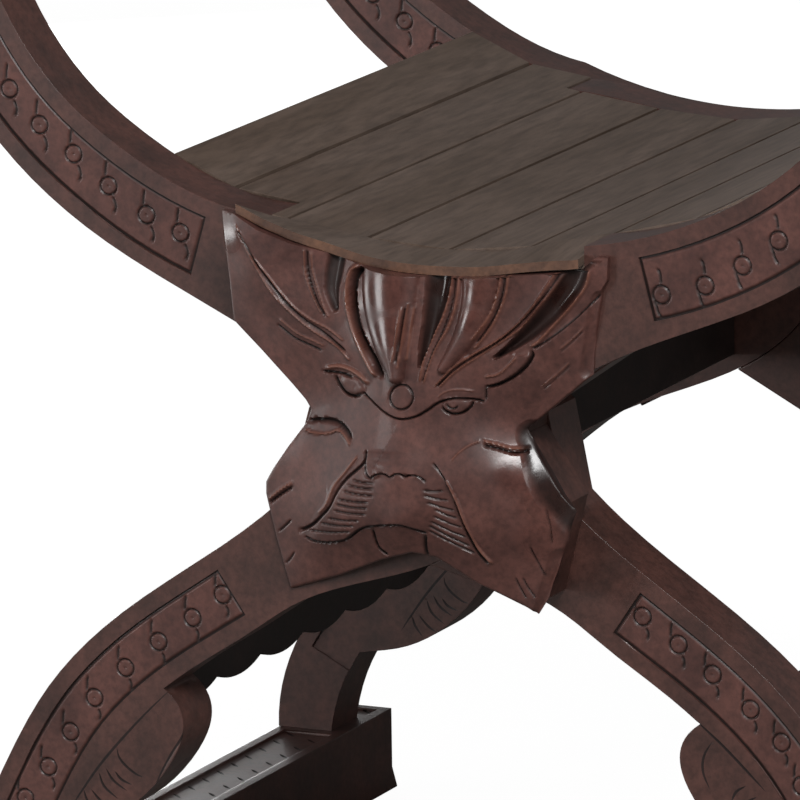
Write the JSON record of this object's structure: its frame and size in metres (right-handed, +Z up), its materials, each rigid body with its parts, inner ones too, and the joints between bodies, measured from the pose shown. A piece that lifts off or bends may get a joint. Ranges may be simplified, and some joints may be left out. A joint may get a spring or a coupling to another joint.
{
  "type": "x-frame armchair",
  "caption": "Carved hardwood armchair on crossed S-shaped frames, with a sagging slatted seat, a lion mask over the front crossing, flat armrests and foot runners.",
  "frame": {"origin": "on the floor under the middle of the chair's overall footprint", "axes": "+X to the viewer's right facing the mask, +Y from the front frame to the back, +Z up"},
  "size_m": [0.682, 0.58, 0.9269],
  "materials": {
    "frame_wood": "satin",
    "carving_wood": "gloss",
    "seat_wood": "satin",
    "dowel_wood": "matte",
    "screw_steel": "satin"
  },
  "bodies": {
    "root": {"back_board": "frame_wood", "centre_beam": "frame_wood", "front_crossing_dowels": "dowel_wood", "front_inner_lower_block": "frame_wood", "front_inner_upper_block": "frame_wood", "front_left_arm_board": "frame_wood", "front_outer_lower_block": "frame_wood", "front_outer_upper_block": "frame_wood", "front_right_arm_board": "frame_wood", "left_armrest": "frame_wood", "left_back_post": "frame_wood", "left_foot_runner": "frame_wood", "left_side_stretcher": "frame_wood", "lion_mask_block": "carving_wood", "mask_dowels": "dowel_wood", "rear_crossing_dowels": "dowel_wood", "rear_inner_lower_block": "frame_wood", "rear_inner_upper_block": "frame_wood", "rear_left_arm_board": "frame_wood", "rear_outer_lower_block": "frame_wood", "rear_outer_upper_block": "frame_wood", "rear_right_arm_board": "frame_wood", "right_armrest": "frame_wood", "right_back_post": "frame_wood", "right_foot_runner": "frame_wood", "right_side_stretcher": "frame_wood", "seat_front_bearer": "seat_wood", "seat_front_rail": "frame_wood", "seat_rear_bearer": "seat_wood", "seat_rear_rail": "frame_wood", "seat_slat_1": "seat_wood", "seat_slat_2": "seat_wood", "seat_slat_3": "seat_wood", "seat_slat_4": "seat_wood", "seat_slat_5": "seat_wood", "seat_slat_6": "seat_wood", "seat_slat_7": "seat_wood", "seat_slat_8": "seat_wood", "slat_screws": "screw_steel"}
  },
  "joints": []
}
